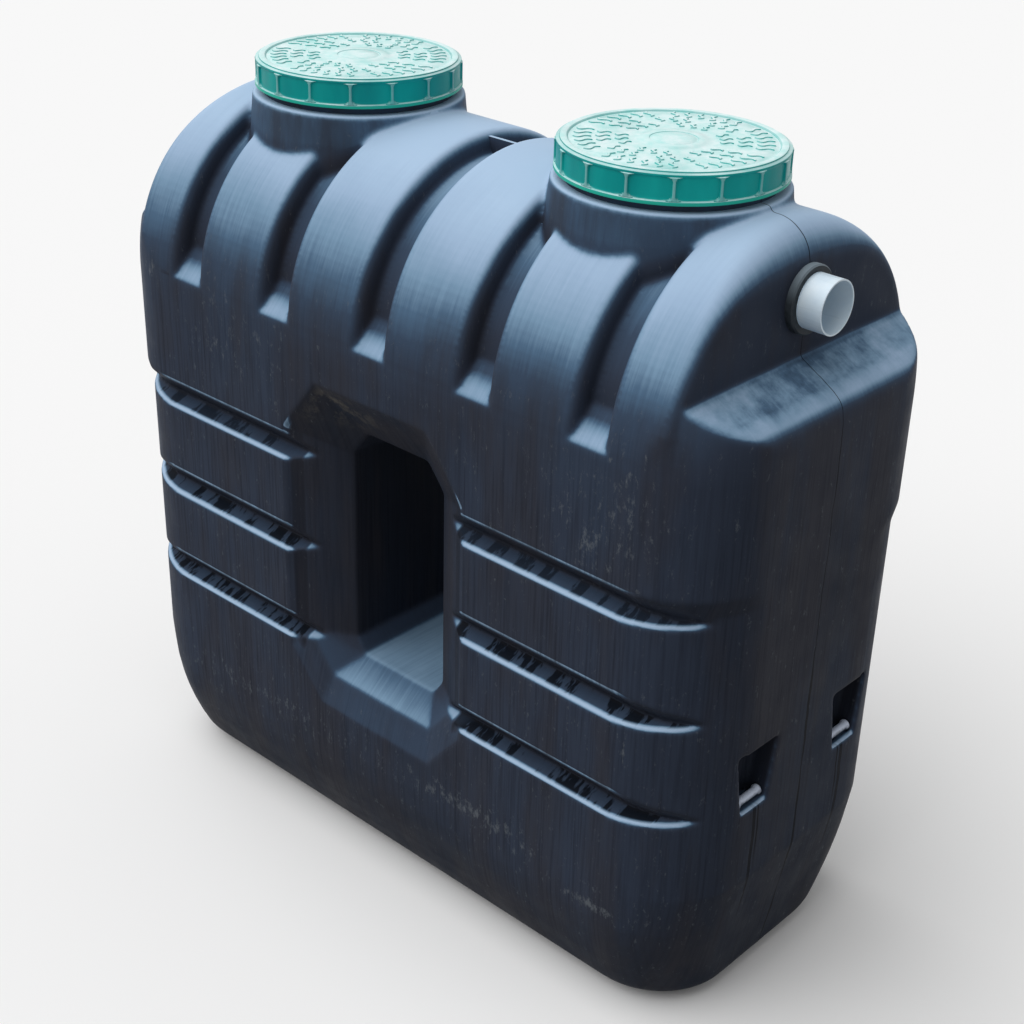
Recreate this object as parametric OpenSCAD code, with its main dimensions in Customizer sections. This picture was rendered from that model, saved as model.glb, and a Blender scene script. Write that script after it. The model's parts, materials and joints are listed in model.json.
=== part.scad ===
// Two-chamber polyethylene septic tank with a window through its middle.
// Millimetres. The origin is the centre of the base, X runs along the tank, -Y is the front, +Z is up.

/* [Tank body] */
// Length of the tank
tank_l = 1794; // [1700:1:2200]
// Width of the tank
tank_w = 802; // [720:1:900]
// Height of the straight sides, from the floor to where the roof starts
side_h = 1320; // [1260:1:1500]
// Thickness of the moulded wall
wall_t = 8; // [5:0.5:12]
// Radius of the four upright corners
corner_r = 220; // [150:1:260]
// How far each end draws in towards the floor
end_taper = 60; // [20:1:90]
// Height over which the ends draw in
end_taper_h = 350; // [250:1:420]
// Radius that rounds the ends into the floor
end_bottom_r = 55; // [30:1:90]
// How far each long side draws in towards the floor
side_taper = 92; // [40:1:110]
// Height over which the long sides draw in
side_taper_h = 300; // [200:1:340]
// Radius that rounds the long sides into the floor
side_bottom_r = 50; // [30:1:80]
// Height of the seam between the floor and the walls
floor_h = 84; // [60:1:120]

/* [Roof] */
// Distance from the upright end wall of the roof to the nearest groove
groove_end = 187; // [170:1:220]
// Width of a roof groove at the roof surface
groove_w_out = 100; // [80:1:110]
// Width of a roof groove at its floor
groove_w_in = 63; // [40:1:70]
// Depth of a roof groove
groove_d = 45; // [25:1:55]
// Height above the straight sides where a groove runs out
groove_foot = 12; // [4:1:30]
// Height of the ramp at the foot of a groove
groove_ramp = 53; // [35:1:80]
// Radius between the roof and its end wall
roof_end_r = 50; // [30:1:85]
// Thickness of the web across the middle groove
web_t = 10; // [6:1:20]

/* [End shelves] */
// Length of the shelf outside the roof's end wall
shelf_l = 114; // [95:1:125]
// Height of the shelf where it meets the end wall, above the straight sides
shelf_in_h = 136; // [110:1:150]
// Height of the shelf's outer edge, above the straight sides
shelf_out_h = 78; // [50:1:95]

/* [Side grooves] */
// How many grooves lie one above the other in each side
side_groove_n = 3; // [1:1:3]
// Distance from the highest side groove's lip up to the roof
side_groove_top = 318.7; // [290:0.1:360]
// Height of the lowest side groove's lip above the floor
side_groove_z = 534.5; // [500:0.5:560]
// Depth of a side groove
side_groove_d = 48; // [30:1:55]
// Rise of a side groove's shelf from its lip to its root
side_groove_rise = 18.6; // [5:1:25]
// Height of a side groove's sloping upper face
side_groove_up = 50; // [30:1:70]
// Distance from the end of the tank to where a side groove starts to turn round the corner
side_groove_turn_in = 162; // [120:1:200]
// Angle by which a side groove turns round the corner
side_groove_turn = 18; // [5:1:25]

/* [Window] */
// Width of the passage through the tank
window_w = 278; // [240:1:320]
// Width of the window where its flare meets the side
window_flare_w = 558; // [520:1:590]
// Depth of the flare
window_flare_d = 87; // [60:1:110]
// Floor of the passage above the base
window_z0 = 522; // [500:1:540]
// Distance from the top of the passage up to the roof
window_top = 224; // [200:1:260]
// Lower edge of the flare above the base
window_flare_z0 = 397; // [380:1:420]
// Distance from the upper edge of the flare up to the roof
window_flare_top = 100; // [85:1:140]
// Depth of the crease that runs along the sill
sill_crease_d = 25; // [15:1:40]
// Height of the sill's crease above the base
sill_crease_z = 470; // [450:1:485]
// Width and height of the bevels at the top of the flare
head_bevel = [109, 135];
// Width and height of the bevels at the foot of the flare
sill_bevel = [101, 118];
// Width and height of the bevels at the top of the passage
head_bevel_in = [47, 58];
// Width and height of the bevels at the floor of the passage
sill_bevel_in = [26, 40];

/* [Necks and lids] */
// Radius of a neck at its shoulder
neck_r = 238; // [236:1:242]
// How much wider a neck is at its root
neck_flare = 12; // [4:1:16]
// Height of the shoulder above the top of the roof
neck_h = 11; // [6:1:40]
// Radius of the lid's top
lid_r = 221.6; // [218:0.1:226]
// Height of the lid from its lower edge to its top
lid_h = 62.5; // [50:0.5:80]
// Gap between the shoulder and the lid's lower edge
lid_gap = 15.5; // [6:0.5:30]
// Thickness of the lid
lid_t = 5; // [3:0.5:8]
// How far the skirt stands out past the lid's top
skirt_out = 5.5; // [3:0.5:8]
// How far the grip ribs stand out from the skirt
grip_out = 5; // [3:0.5:8]
// Number of grip ribs around the lid
grip_n = 16; // [8:1:24]
// Width of a grip rib
grip_w = 10; // [6:1:16]
// Turn of the first grip rib from the length of the tank
grip_turn = 16.25; // [0:0.25:22]
// Gap between the lid's skirt and the collar inside it
collar_gap = 8; // [5:0.5:12]
// Thickness of the collar
collar_t = 12; // [8:0.5:16]
// Thickness of the rubber gasket under the lid
gasket_t = 6; // [3:0.5:10]
// Play above and below the gasket
gasket_play = 0.3; // [0.2:0.1:0.5]

/* [Inlet and outlet] */
// Outside diameter of the pipes
pipe_od = 110; // [75:1:125]
// Thickness of the pipe's wall
pipe_t = 3.2; // [2.2:0.1:5]
// Height of the outlet pipe's centre above the straight sides
pipe_h = 255.5; // [235:0.5:265]
// How far the inlet lies above the outlet
inlet_rise = 0; // [0:1:5]
// How far the pipe's mouth stands out from the end wall
pipe_out = 70; // [40:1:100]
// Width of the shallow insertion mark around the pipe
mark_w = 2; // [1:0.5:4]
// Depth of the insertion mark
mark_d = 0.8; // [0.7:0.1:1.2]
// How far the pipe reaches into the tank
pipe_in = 60; // [40:1:120]
// Outside radius of the seal's rim
seal_r = 69.5; // [68:0.5:76]
// How far the seal's rim stands out from the end wall
seal_out = 16.5; // [8:0.5:20]
// Thickness of the rubber between the pipe and the wall
seal_t = 7; // [4:0.5:10]
// Play between the pipe and its seal
seal_play = 0.3; // [0.2:0.1:0.5]

/* [Anchor pockets] */
// Distance from the middle plane to each pocket
pocket_y = 165; // [150:1:190]
// Width of a pocket at its top
pocket_w_top = 130; // [100:1:140]
// Width of a pocket at its foot
pocket_w_foot = 80; // [60:1:95]
// Height of a pocket
pocket_h = 150; // [120:1:160]
// Foot of a pocket above the base
pocket_z = 535; // [510:1:560]
// Depth of a pocket from the end of the tank
pocket_d = 55; // [50:1:70]
// Diameter of an anchor bar
bar_d = 24; // [16:1:28]
// Height of an anchor bar above the pocket's foot
bar_h = 15; // [14:1:30]
// How far an anchor bar lies in from the end of the tank
bar_in = 24; // [15:1:35]

/* [Hidden] */
$fn = 96;

black = "#23262c";
rubber = "#15161a";
teal = "#1f9a84";
pvc = "#a9b8c8";

half_l = tank_l / 2;
half_w = tank_w / 2;
roof_r = half_w;                              // the roof is half a cylinder, tangent to the sides
roof_top = side_h + roof_r;
corner_x = half_l - corner_r;                 // where the upright corners start
roof_half_l = half_l - shelf_l;               // the upright end wall of the roof
rib_pitch = (roof_half_l - groove_end) / 2;   // from one roof groove to the next
neck_x = 1.5 * rib_pitch;                     // the necks stand midway between grooves
window_z1 = side_h - window_top;
window_flare_z1 = side_h - window_flare_top;
side_groove_pitch = (side_h - side_groove_top - side_groove_z) / 2;
side_groove_turn_x = half_l - side_groove_turn_in;
seam = 12;                                    // margin from a groove's edge to the seam with its rib
groove_half = groove_w_out / 2 + seam;
groove_r = roof_r - groove_d;
edge_d = 11;                                  // depth of the bevel along a groove's edge
edge_w = 10;                                  // width of that bevel
far = 2000;                                   // longer than anything it cuts

shoulder_z = roof_top + neck_h;
lid_z0 = shoulder_z + lid_gap;
lid_z1 = lid_z0 + lid_h;
skirt_r = lid_r + skirt_out;
collar_r = skirt_r - lid_t - collar_gap;
gasket_z = lid_z1 - lid_t - gasket_play - gasket_t;
collar_z = gasket_z - gasket_play;
pipe_z = side_h + pipe_h;
pipe_r = pipe_od / 2;
seal_bore = pipe_r + seal_play;
wall_bore = seal_bore + seal_t;

// Points of an arc from angle a to angle b in n steps
function arc(cx, cy, r, a, b, n) = [for (i = [0:n]) let (t = a + (b - a) * i / n) [cx + r * cos(t), cy + r * sin(t)]];
function flip_x(p) = [for (i = [len(p) - 1:-1:0]) [-p[i][0], p[i][1]]];

// Plan of the tank, drawn in by d
module plan(d) {
    a = arc(half_l - corner_r, half_w - corner_r, corner_r - d, 0, 90, 8);
    b = flip_x(a);
    polygon(concat(a, b, [for (p = a) [-p[0], -p[1]]], [for (p = b) [-p[0], -p[1]]]));
}

// Plan of the roof's ends, whose flanks run out just past the sides
module roof_plan(d) {
    a = arc(half_l - corner_r, half_w - corner_r, corner_r - d, 0, 85, 8);
    tip = a[8];
    out = [0, tip[1] + tip[0] * tan(5)];
    polygon(concat(a, [out], flip_x(a), [for (p = a) [-p[0], -p[1]]], [-out], [for (p = flip_x(a)) [-p[0], -p[1]]]));
}

// Moves every edge of an anticlockwise outline inwards by d
function unit(v) = v / norm(v);
function drawn_in(p, d) = let (n = len(p)) [for (i = [0:n - 1])
    let (a = unit(p[i] - p[(i + n - 1) % n]), b = unit(p[(i + 1) % n] - p[i]), na = [-a[1], a[0]], nb = [-b[1], b[0]])
    p[i] + d * (na + nb) / (1 + na * nb)];

// Profile of the body with its tapered, rounded foot, drawn in by d; mid is the taper at half its height
module foot_profile(d, half, taper, taper_h, mid, r) {
    a = atan2(taper_h / 2, taper - mid);
    start = half - taper - r / tan(90 - a / 2);
    right = concat(arc(start, r, r, -90, -90 + a, 4), [[half - mid, taper_h / 2], [half, taper_h], [half, side_h + 50]]);
    polygon(drawn_in(concat(right, flip_x(right)), d));
}

module along_x(l) { rotate([90, 0, 90]) translate([0, 0, -l / 2]) linear_extrude(l) children(); }
module along_y(l) { rotate([90, 0, 0]) translate([0, 0, -l / 2]) linear_extrude(l) children(); }

// The lower body as one solid, drawn in by d
module lower_form(d) {
    intersection() {
        translate([0, 0, d]) linear_extrude(side_h - d) plan(d);
        along_y(far) foot_profile(d, half_l, end_taper, end_taper_h, end_taper / 2, end_bottom_r);
        along_x(far) foot_profile(d, half_w, side_taper, side_taper_h, side_taper / 4, side_bottom_r);
    }
}

// Wedge that cuts the side grooves; d makes it larger all round
module side_grooves(d) {
    for (s = [-1, 1], i = [0:side_groove_n - 1]) {
        z = side_groove_z + i * side_groove_pitch;
        y0 = half_w + 20;
        k1 = side_groove_rise / side_groove_d;
        k2 = side_groove_up / side_groove_d;
        low = sqrt(1 + k1 * k1) * d;
        top = sqrt(1 + k2 * k2) * d;
        root_y = half_w - side_groove_d;
        // the root moves in by the offset of both faces
        in = (low + top) / (k1 + k2);
        wedge = [
            [s * y0, z - k1 * 20 - low],
            [s * (root_y - in), z + side_groove_rise + k1 * in - low],
            [s * y0, z + side_groove_rise + side_groove_up + k2 * 20 + top]
        ];
        along_x(2 * side_groove_turn_x + 40) polygon(wedge);
        // round the corner
        for (t = [0, 1]) mirror([t, 0, 0]) translate([side_groove_turn_x, s * root_y, 0])
            rotate([0, 0, -s * side_groove_turn]) translate([140, -s * root_y, 0]) along_x(300) polygon(wedge);
    }
}

// Outline of the window from its half width, foot and top, with the bevels at the foot and at the top
function window_outline(w, z0, z1, b0, b1) = [
    [w, z0 + b0[1]], [w, z1 - b1[1]], [w - b1[0], z1], [-w + b1[0], z1],
    [-w, z1 - b1[1]], [-w, z0 + b0[1]], [-w + b0[0], z0], [w - b0[0], z0]];
function steep(k) = sqrt(1 + k * k);

// The window as a solid that cuts the tank; d makes it larger all round
module window_cut(d) {
    over = 30;
    kx = (window_flare_w - window_w) / 2 / window_flare_d;
    kt = (window_flare_z1 - window_z1) / window_flare_d;
    k1 = (window_z0 - sill_crease_z) / (window_flare_d - sill_crease_d);
    k0 = (sill_crease_z - window_flare_z0) / sill_crease_d;
    crease_y = sill_crease_d + d * (steep(k0) - steep(k1)) / (k0 - k1);
    function half_at(y) = window_w / 2 + kx * (window_flare_d - y) + d * steep(kx);
    function top_at(y) = window_z1 + kt * (window_flare_d - y) + d * steep(kt);
    function foot_bevel(y) = sill_bevel + (sill_bevel_in - sill_bevel) * y / window_flare_d;
    function top_bevel(y) = head_bevel + (head_bevel_in - head_bevel) * y / window_flare_d;
    inner = window_outline(window_w / 2 + d, window_z0 - d, window_z1 + d, sill_bevel_in, head_bevel_in);
    crease = window_outline(half_at(crease_y), sill_crease_z + k1 * (crease_y - sill_crease_d) - d * steep(k1),
        top_at(crease_y), foot_bevel(crease_y), top_bevel(crease_y));
    outer = window_outline(half_at(-over), sill_crease_z - k0 * (sill_crease_d + over) - d * steep(k0),
        top_at(-over), foot_bevel(-over), top_bevel(-over));
    inner_y = half_w - window_flare_d - d / 2;
    along_y(2 * inner_y) polygon(inner);
    for (s = [-1, 1]) {
        hull() {
            translate([0, s * (inner_y - 0.5), 0]) along_y(1) polygon(inner);
            translate([0, s * (half_w - crease_y - 0.05), 0]) along_y(0.1) polygon(crease);
        }
        hull() {
            translate([0, s * (half_w - crease_y - 0.05), 0]) along_y(0.1) polygon(crease);
            translate([0, s * (half_w + over + 0.5), 0]) along_y(1) polygon(outer);
        }
    }
}

// The pockets at the foot of the ends; d makes them larger
module pockets(d) {
    for (s = [-1, 1], t = [-1, 1]) {
        translate([s * (half_l - pocket_d + 60 - d), t * pocket_y, 0]) along_x(120) polygon([
            [-pocket_w_foot / 2 - d, pocket_z - d], [pocket_w_foot / 2 + d, pocket_z - d],
            [pocket_w_top / 2 + d, pocket_z + pocket_h + d], [-pocket_w_top / 2 - d, pocket_z + pocket_h + d]]);
    }
}

// Moulded wall of the lower body within a box, with the cuts that reach it
module lower_shell(x0, x1, y0, y1, z0, z1, grooves, window, pocket) {
    intersection() {
        translate([x0, y0, z0]) cube([x1 - x0, y1 - y0, z1 - z0]);
        difference() {
            lower_form(0);
            difference() {
                lower_form(wall_t);
                if (grooves) side_grooves(wall_t);
                if (pocket) pockets(wall_t);
            }
            if (grooves) side_grooves(0);
            if (window) window_cut(wall_t);
            if (pocket) pockets(0);
        }
    }
}

win_x = window_flare_w / 2 + 25;
split_z = side_groove_z + 1.65 * side_groove_pitch;   // seam between the walls over and under the window

module tank_floor() {
    color(black) lower_shell(-corner_x, corner_x, -half_w, half_w, 0, floor_h, false, false, false);
}
module end_wall(s) {
    color(black) lower_shell(s > 0 ? corner_x : -half_l - 1, s > 0 ? half_l + 1 : -corner_x,
        -half_w - 1, half_w + 1, -1, side_h, true, false, true);
}
module wall_side(s, t) {
    color(black) lower_shell(s > 0 ? win_x : -corner_x, s > 0 ? corner_x : -win_x,
        t > 0 ? 0 : -half_w - 1, t > 0 ? half_w + 1 : 0, floor_h, side_h, true, false, false);
}
module wall_over(t) {
    color(black) lower_shell(-win_x, win_x, t > 0 ? 0 : -half_w - 1, t > 0 ? half_w + 1 : 0,
        split_z, side_h, true, true, false);
}
module wall_under(t) {
    color(black) lower_shell(-win_x, win_x, t > 0 ? 0 : -half_w - 1, t > 0 ? half_w + 1 : 0,
        floor_h, split_z, true, true, false);
}

// Lining of the window within a box
module lining(x0, x1, z0, z1) {
    color(black) intersection() {
        translate([x0, -half_w, z0]) cube([x1 - x0, 2 * half_w, z1 - z0]);
        difference() {
            intersection() {
                window_cut(wall_t);
                lower_form(0);
            }
            window_cut(0);
            side_grooves(0);
        }
    }
}
jamb_z0 = window_z0 + sill_bevel_in[1];
jamb_z1 = window_z1 - head_bevel_in[1];
module window_sill() { lining(-half_l, half_l, 0, jamb_z0); }
module window_head() { lining(-half_l, half_l, jamb_z1, side_h); }
module window_jambs() { lining(-half_l, half_l, jamb_z0, jamb_z1); }

// Turns an outline in radius and length about the roof's axis
module about_roof() { translate([0, 0, side_h]) rotate([90, 0, 90]) rotate_extrude(angle = 180) children(); }

// One roof groove at x, made larger by d, down to its ramp at the foot
module roof_groove_cut(x, d) {
    h_in = groove_w_in / 2 + d;
    h_out = groove_w_out / 2 + d * 0.6;
    slope = groove_d / groove_ramp;
    drop = d * sqrt(1 + 1 / (slope * slope));
    intersection() {
        about_roof() polygon([
            [groove_r - d, x - h_in], [groove_r - d, x + h_in],
            [roof_r - edge_d, x + h_out - edge_w], [roof_r, x + h_out], [roof_r + 30, x + h_out + 20],
            [roof_r + 30, x - h_out - 20], [roof_r, x - h_out], [roof_r - edge_d, x - h_out + edge_w]]);
        translate([x, 0, 0]) along_x(2 * groove_half + 20) polygon([
            [-roof_r - 60, side_h + groove_foot - 60 / slope - drop],
            [-groove_r + 200, side_h + groove_foot + (groove_d + 200) / slope - drop],
            [groove_r - 200, side_h + groove_foot + (groove_d + 200) / slope - drop],
            [roof_r + 60, side_h + groove_foot - 60 / slope - drop],
            [roof_r + 60, roof_top + 50], [-roof_r - 60, roof_top + 50]]);
    }
}

function neck_root_r(dz) = neck_r + neck_flare * (neck_h - dz) / 120;
module neck_solid() {
    translate([0, 0, roof_top - 200]) cylinder(h = 200 + neck_h, r1 = neck_root_r(-200), r2 = neck_r);
}

// Half ring of the roof between two stations
module roof_ring(x0, x1) {
    about_roof() polygon([[roof_r - wall_t, x0], [roof_r, x0], [roof_r, x1], [roof_r - wall_t, x1]]);
}

module roof_groove(i) {
    x = (i - 3) * rib_pitch;
    color(black) difference() {
        intersection() {
            translate([x - groove_half, -half_w - 1, side_h]) cube([2 * groove_half, tank_w + 2, roof_r + 1]);
            difference() {
                about_roof() polygon([[0, x - groove_half - 5], [roof_r, x - groove_half - 5],
                    [roof_r, x + groove_half + 5], [0, x + groove_half + 5]]);
                difference() {
                    about_roof() polygon([[0, x - groove_half - 9], [roof_r - wall_t, x - groove_half - 9],
                        [roof_r - wall_t, x + groove_half + 9], [0, x + groove_half + 9]]);
                    roof_groove_cut(x, wall_t);
                }
            }
        }
        roof_groove_cut(x, 0);
        if (i != 3) translate([sign(x) * neck_x, 0, 0]) neck_solid();
    }
    if (i == 3) color(black) middle_web();
}

// Thin web that crosses the middle groove at the top of the roof, its edges sunk into the groove's walls
module middle_web() {
    in = 3;
    difference() {
        along_y(web_t) polygon([
            [-groove_w_in / 2 - in, side_h + groove_r - 6], [groove_w_in / 2 + in, side_h + groove_r - 6],
            [groove_w_in / 2 + in, side_h + groove_r], [groove_w_out / 2 - edge_w + in, roof_top - edge_d],
            [-groove_w_out / 2 + edge_w - in, roof_top - edge_d], [-groove_w_in / 2 - in, side_h + groove_r]]);
        about_roof() polygon([[0, -100], [groove_r - in, -100], [groove_r - in, 100], [0, 100]]);
    }
}

module roof_rib(i) {
    s = i < 3.5 ? -1 : 1;
    x0 = (i - 4) * rib_pitch + groove_half;
    color(black) difference() {
        roof_ring(x0, x0 + rib_pitch - 2 * groove_half);
        translate([s * neck_x, 0, 0]) neck_solid();
    }
}

// Outline of the roof's round end, in radius and length, drawn in by d
module round_end(d) {
    polygon(concat([[0, corner_x - 40]], [[roof_r - d, corner_x - 40]],
        [for (p = arc(roof_half_l - roof_end_r, roof_r - roof_end_r, roof_end_r - d, 90, 0, 8)) [p[1], p[0]]],
        [[0, roof_half_l - d]]));
}

// Shelf outside the roof's end wall, as a profile from the front, drawn in by d
module shelf_profile(d) {
    k = d * 0.94;
    polygon([
        [roof_half_l - 100, side_h - 1], [half_l - d, side_h - 1], [half_l - d - 1, side_h + 8],
        [half_l - 4 - k, side_h + shelf_out_h * 0.82 - k * 0.35],
        [half_l - 16 - k * 0.8, side_h + shelf_out_h + 4 - k * 0.7],
        [half_l - shelf_l / 2 - k * 0.4, side_h + (shelf_in_h + shelf_out_h) / 2 - k],
        [roof_half_l, side_h + shelf_in_h - 2 - d * 1.03],
        [roof_half_l - 100, side_h + shelf_in_h - 2 - d * 1.03]]);
}

// The upper end of the tank as one solid, drawn in by d
module upper_end(s, d) {
    intersection() {
        union() {
            mirror([s > 0 ? 0 : 1, 0, 0]) about_roof() round_end(d);
            mirror([s > 0 ? 0 : 1, 0, 0]) along_y(far) shelf_profile(d);
        }
        translate([0, 0, side_h - 2]) linear_extrude(roof_r + 10) roof_plan(d);
        about_roof() polygon([[0, -far / 2], [roof_r - d, -far / 2], [roof_r - d, far / 2], [0, far / 2]]);
    }
}
module upper_end_shell(s) {
    difference() {
        upper_end(s, 0);
        upper_end(s, wall_t);
        translate([s * neck_x, 0, 0]) neck_solid();
    }
}
rib_end_x = 2 * rib_pitch + groove_half;
shelf_x = roof_half_l - wall_t;
module end_box(s, x0, x1, z0, z1) {
    translate([s > 0 ? x0 : -x1, -half_w - 1, z0]) cube([x1 - x0, tank_w + 2, z1 - z0]);
}
module end_rib(s) {
    color(black) union() {
        difference() {
            mirror([s > 0 ? 0 : 1, 0, 0]) roof_ring(rib_end_x, corner_x - 5);
            translate([s * neck_x, 0, 0]) neck_solid();
        }
        intersection() {
            upper_end_shell(s);
            end_box(s, corner_x - 5, shelf_x, side_h, roof_top + 1);
        }
    }
}
module roof_end(s) {
    color(black) difference() {
        intersection() {
            mirror([s > 0 ? 0 : 1, 0, 0]) about_roof() intersection() {
                difference() {
                    round_end(0);
                    round_end(wall_t);
                }
                translate([0, shelf_x]) square([roof_r, wall_t + 1]);
            }
            end_box(s, shelf_x, half_l, side_h + shelf_in_h - 2, roof_top);
        }
        pipe_hole(s);
    }
}
module shelf(s) {
    color(black) intersection() {
        upper_end_shell(s);
        end_box(s, shelf_x, half_l + 1, side_h, side_h + shelf_in_h - 2);
    }
}

function pipe_height(s) = pipe_z + (s < 0 ? inlet_rise : 0);
module end_axis(s) { translate([s * roof_half_l, 0, pipe_height(s)]) rotate([0, 90 * s, 0]) children(); }
module pipe_hole(s) { end_axis(s) translate([0, 0, -40]) cylinder(h = 80, r = wall_bore); }

module neck(s) {
    color(black) difference() {
        translate([s * neck_x, 0, 0]) rotate_extrude() polygon([
            [neck_root_r(-200), roof_top - 200], [neck_r, shoulder_z], [collar_r - collar_t, shoulder_z],
            [collar_r - collar_t, shoulder_z - wall_t], [neck_r - wall_t, shoulder_z - wall_t],
            [neck_root_r(-200) - wall_t, roof_top - 200]]);
        difference() {
            about_roof() polygon([[0, -far / 2], [roof_r - wall_t, -far / 2], [roof_r - wall_t, far / 2], [0, far / 2]]);
            for (i = [1, 2]) roof_groove_cut(s * i * rib_pitch, wall_t);
        }
    }
}

module collar(s) {
    color(black) translate([s * neck_x, 0, 0]) rotate_extrude() polygon([
        [collar_r - collar_t, shoulder_z], [collar_r, shoulder_z], [collar_r, collar_z - 2],
        [collar_r - 2, collar_z], [collar_r - collar_t, collar_z]]);
}

module gasket(s) {
    color(rubber) translate([s * neck_x, 0, gasket_z]) difference() {
        cylinder(h = gasket_t, r = collar_r - 0.5);
        translate([0, 0, -1]) cylinder(h = gasket_t + 2, r = collar_r - 11);
    }
}

module lid_top(s) {
    color(teal) translate([s * neck_x, 0, lid_z1 - lid_t]) rotate_extrude() polygon([
        [0, 0], [lid_r, 0], [lid_r, lid_t - 1.5], [lid_r - 1.5, lid_t], [0, lid_t]]);
}

module lid_skirt(s) {
    color(teal) translate([s * neck_x, 0, lid_z0]) union() {
        rotate_extrude() polygon([
            [skirt_r - lid_t, 0], [skirt_r + grip_out, 0], [skirt_r + grip_out, 5], [skirt_r, 6],
            [skirt_r, lid_h - 12], [skirt_r + 2, lid_h - 10], [skirt_r + 2, lid_h - 5], [lid_r, lid_h - lid_t + 2],
            [lid_r, lid_h - lid_t], [skirt_r - lid_t, lid_h - lid_t]]);
        for (i = [0:grip_n - 1]) rotate([0, 0, grip_turn + i * 360 / grip_n])
            translate([skirt_r - 1, -grip_w / 2, 3]) cube([grip_out + 0.6, grip_w, lid_h - 11.5]);
    }
}

module pipe(s) {
    color(pvc) end_axis(s) translate([0, 0, -pipe_in]) difference() {
        cylinder(h = pipe_in + pipe_out, r = pipe_r);
        translate([0, 0, -1]) cylinder(h = pipe_in + pipe_out + 2, r = pipe_r - pipe_t);
        translate([0, 0, pipe_in + seal_out]) difference() {
            cylinder(h = mark_w, r = pipe_r + 1);
            translate([0, 0, -1]) cylinder(h = mark_w + 2, r = pipe_r - mark_d);
        }
    }
}

module seal(s) {
    color(rubber) end_axis(s) rotate_extrude() polygon([
        [seal_bore, -wall_t - 14], [wall_bore + 3, -wall_t - 14], [wall_bore + 5, -wall_t],
        [wall_bore, -wall_t], [wall_bore, 0], [seal_r, 0], [seal_r, seal_out - 3],
        [seal_r - 3, seal_out], [seal_bore, seal_out]]);
}

module anchor_bars(s) {
    color(black) for (t = [-1, 1]) intersection() {
        translate([s * (half_l - bar_in), t * pocket_y, pocket_z + bar_h])
            rotate([90, 0, 0]) cylinder(h = pocket_w_top, d = bar_d, center = true);
        pockets(0);
    }
}

tank_floor();
end_wall(-1);  // left_end_wall
end_wall(1);  // right_end_wall
wall_side(-1, -1);  // front_wall_left
wall_side(1, -1);  // front_wall_right
wall_over(-1);  // front_wall_over_window
wall_under(-1);  // front_wall_under_window
wall_side(-1, 1);  // back_wall_left
wall_side(1, 1);  // back_wall_right
wall_over(1);  // back_wall_over_window
wall_under(1);  // back_wall_under_window
window_sill();
window_head();
window_jambs();
end_rib(-1);  // roof_rib_1
roof_rib(2);  // roof_rib_2
roof_rib(3);  // roof_rib_3
roof_rib(4);  // roof_rib_4
roof_rib(5);  // roof_rib_5
end_rib(1);  // roof_rib_6
roof_groove(1);  // roof_groove_1
roof_groove(2);  // roof_groove_2
roof_groove(3);  // roof_groove_3
roof_groove(4);  // roof_groove_4
roof_groove(5);  // roof_groove_5
roof_end(-1);  // left_roof_end
roof_end(1);  // right_roof_end
shelf(-1);  // left_shelf
shelf(1);  // right_shelf
neck(-1);  // left_neck
neck(1);  // right_neck
collar(-1);  // left_collar
collar(1);  // right_collar
gasket(-1);  // left_gasket
gasket(1);  // right_gasket
lid_top(-1);  // left_lid_top
lid_top(1);  // right_lid_top
lid_skirt(-1);  // left_lid_skirt
lid_skirt(1);  // right_lid_skirt
pipe(-1);  // inlet_pipe
pipe(1);  // outlet_pipe
seal(-1);  // inlet_seal
seal(1);  // outlet_seal
anchor_bars(-1);  // left_anchor_bars
anchor_bars(1);  // right_anchor_bars
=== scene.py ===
# %% [markdown]
# # A moulded septic tank
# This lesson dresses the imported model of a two-chamber tank. The real one is a single black skin of
# polyethylene, blown or spun in a mould that parts along the middle plane, with two green screw lids
# and a pipe stub at each end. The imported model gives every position, so the lesson starts by loading it.

# %% Load the frame
import json
import math

import bmesh
import bpy
from mathutils import Matrix, Vector

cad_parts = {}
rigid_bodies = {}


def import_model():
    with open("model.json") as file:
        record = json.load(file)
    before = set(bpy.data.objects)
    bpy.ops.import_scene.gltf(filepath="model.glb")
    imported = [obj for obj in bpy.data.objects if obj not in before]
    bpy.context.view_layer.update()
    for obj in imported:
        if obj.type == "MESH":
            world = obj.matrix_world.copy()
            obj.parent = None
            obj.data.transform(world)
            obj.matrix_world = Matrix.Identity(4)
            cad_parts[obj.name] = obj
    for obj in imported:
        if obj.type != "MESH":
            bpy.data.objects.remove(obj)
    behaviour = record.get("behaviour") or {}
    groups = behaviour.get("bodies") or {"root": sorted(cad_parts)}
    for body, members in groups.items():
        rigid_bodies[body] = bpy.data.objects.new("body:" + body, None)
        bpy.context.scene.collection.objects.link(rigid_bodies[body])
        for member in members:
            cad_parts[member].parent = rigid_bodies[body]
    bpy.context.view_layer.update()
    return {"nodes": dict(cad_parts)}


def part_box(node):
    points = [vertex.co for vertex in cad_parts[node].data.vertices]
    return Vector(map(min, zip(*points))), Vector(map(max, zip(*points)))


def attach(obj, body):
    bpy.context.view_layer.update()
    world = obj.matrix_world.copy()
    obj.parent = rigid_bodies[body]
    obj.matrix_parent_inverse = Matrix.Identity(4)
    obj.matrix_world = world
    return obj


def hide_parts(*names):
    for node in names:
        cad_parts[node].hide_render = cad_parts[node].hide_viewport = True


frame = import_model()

# %% [markdown]
# ## Sizes
# The solids already hold the main sizes, so they are read from there and turned into millimetres, which
# are easier to think in for a moulding. Mesh code below works in millimetres and scales once at the end.

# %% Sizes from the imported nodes
MM = 0.001


def box_mm(node):
    low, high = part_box(node)
    return low / MM, high / MM


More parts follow.
